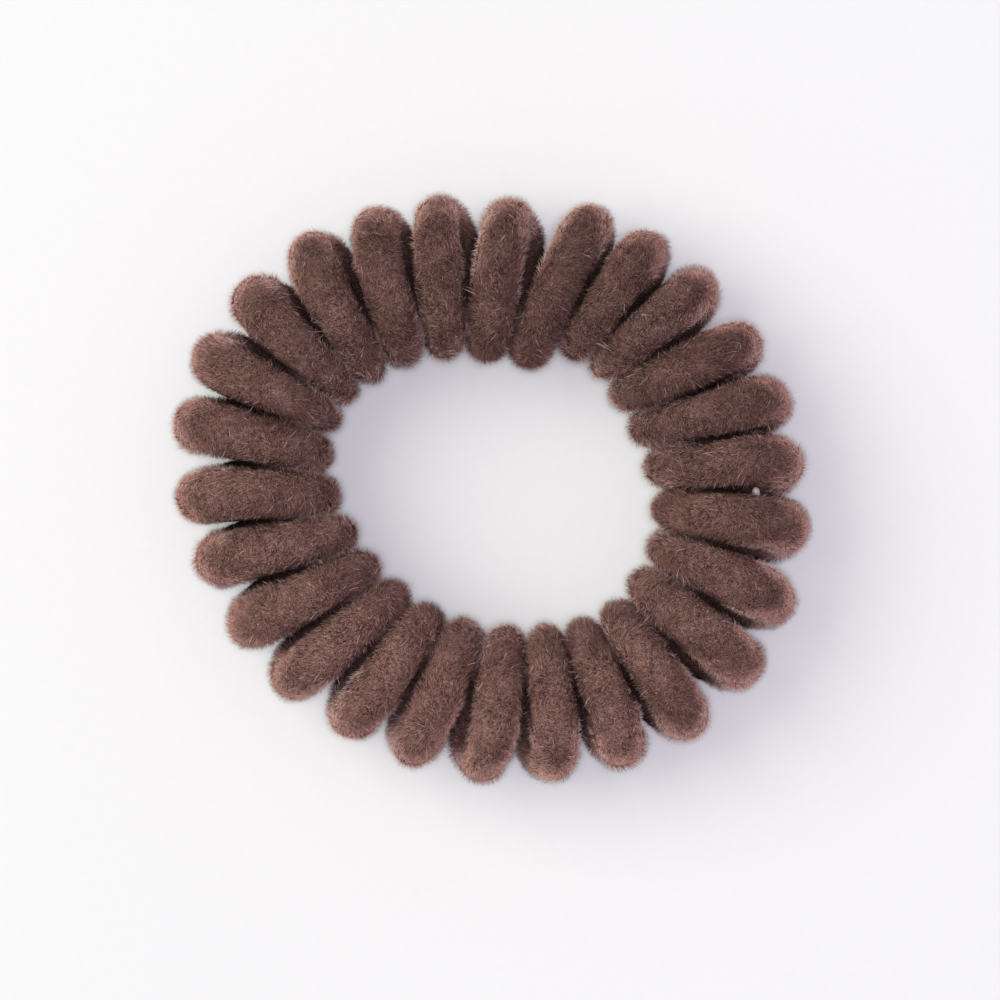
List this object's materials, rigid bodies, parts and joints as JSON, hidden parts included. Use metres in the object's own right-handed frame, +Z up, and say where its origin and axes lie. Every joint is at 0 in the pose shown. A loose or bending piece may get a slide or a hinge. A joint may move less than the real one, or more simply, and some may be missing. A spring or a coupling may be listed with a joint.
{
  "type": "spiral hair tie",
  "caption": "Coiled elastic cord with a flocked velvet finish, closed into a ring that winds round a ponytail or bun to hold hair.",
  "frame": {"origin": "on the resting plane, under the middle of the ring's bounding box", "axes": "+Z up, through the hole from the resting side to the crown side; +X and +Y in the ring's plane, the long axis of the oval 22 degrees clockwise from +X"},
  "size_m": [0.052, 0.048, 0.0129],
  "materials": {
    "flocked_cord": "short brown velvet flock, fully matt with a pale sheen at grazing angles",
    "joint_bond": "pale translucent bead of bond, satin"
  },
  "bodies": {
    "root": {"spiral_coil": "flocked_cord", "joint_bead": "joint_bond"}
  },
  "joints": []
}
